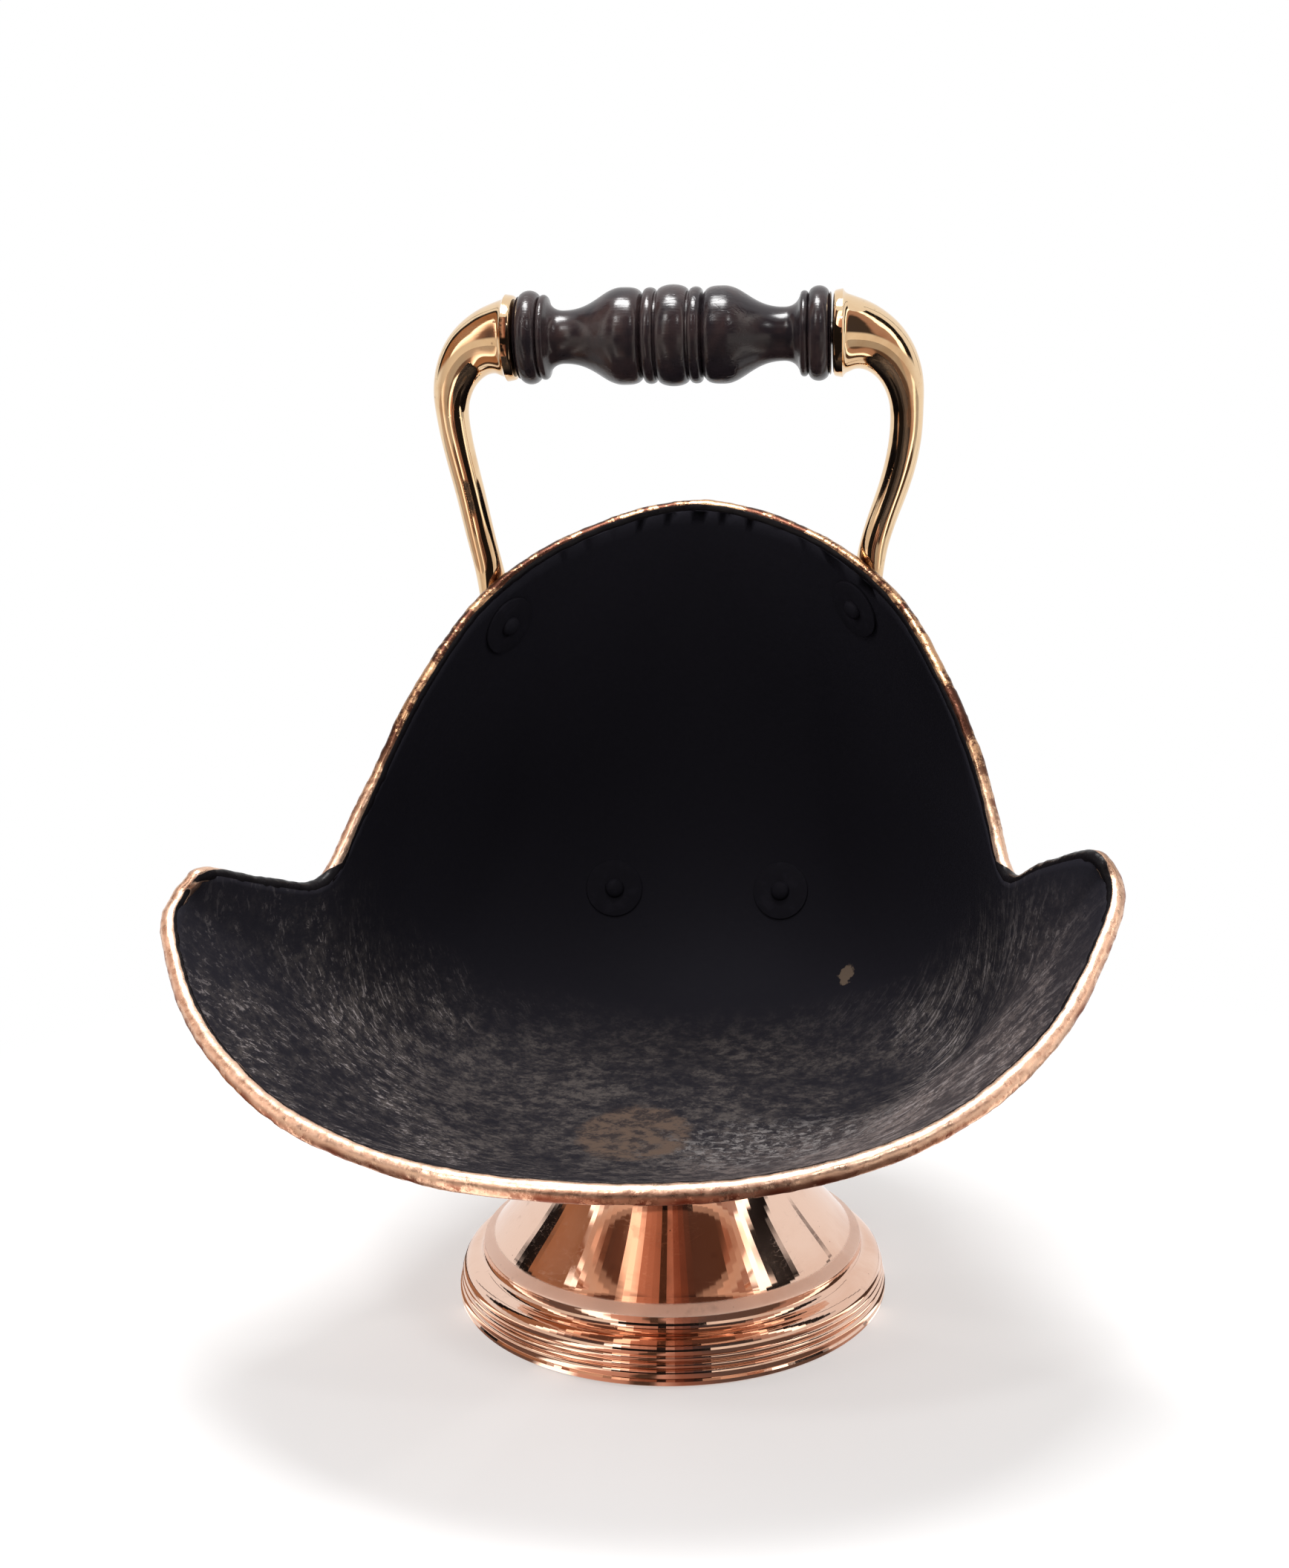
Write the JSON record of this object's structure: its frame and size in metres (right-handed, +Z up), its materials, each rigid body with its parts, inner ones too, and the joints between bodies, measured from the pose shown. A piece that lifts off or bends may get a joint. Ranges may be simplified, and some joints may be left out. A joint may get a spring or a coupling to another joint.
{
  "type": "coal scuttle",
  "caption": "Helmet coal scuttle: raised copper bowl with a wired rim, hood and pouring lip on a spun foot, with an overhead handle and a rear tipping handle, both with turning wooden grips.",
  "frame": {"origin": "centre of the foot's flat underside, on the surface the scuttle stands on", "axes": "+Z up, -Y towards the pouring lip, +X to the right of a viewer who looks into the mouth along +Y"},
  "size_m": [0.3153, 0.3645, 0.3722],
  "materials": {
    "copper": "polished copper sheet",
    "cast_brass": "polished cast brass, worn",
    "ebonised_wood": "turned, ebonised and waxed",
    "iron": "dark iron"
  },
  "bodies": {
    "scuttle": {"body_shell": "copper", "rim_wire": "iron", "foot": "copper", "foot_edge_wire": "iron", "top_arm_left": "cast_brass", "top_arm_right": "cast_brass", "top_rod": "iron", "top_foot_washers": "iron", "top_foot_screws": "iron", "rear_arm_left": "cast_brass", "rear_arm_right": "cast_brass", "rear_rod": "iron", "rear_foot_washers": "iron", "rear_foot_screws": "iron"},
    "top_grip": {"top_grip": "ebonised_wood"},
    "rear_grip": {"rear_grip": "ebonised_wood"}
  },
  "joints": [
    {"name": "top_grip_spin", "type": "hinge", "parent": "scuttle", "child": "top_grip", "pos_m": [0, 0.04, 0.354], "axis": [1, 0, 0], "continuous": true},
    {"name": "rear_grip_spin", "type": "hinge", "parent": "scuttle", "child": "rear_grip", "pos_m": [0, 0.176, 0.13], "axis": [1, 0, 0], "continuous": true}
  ]
}
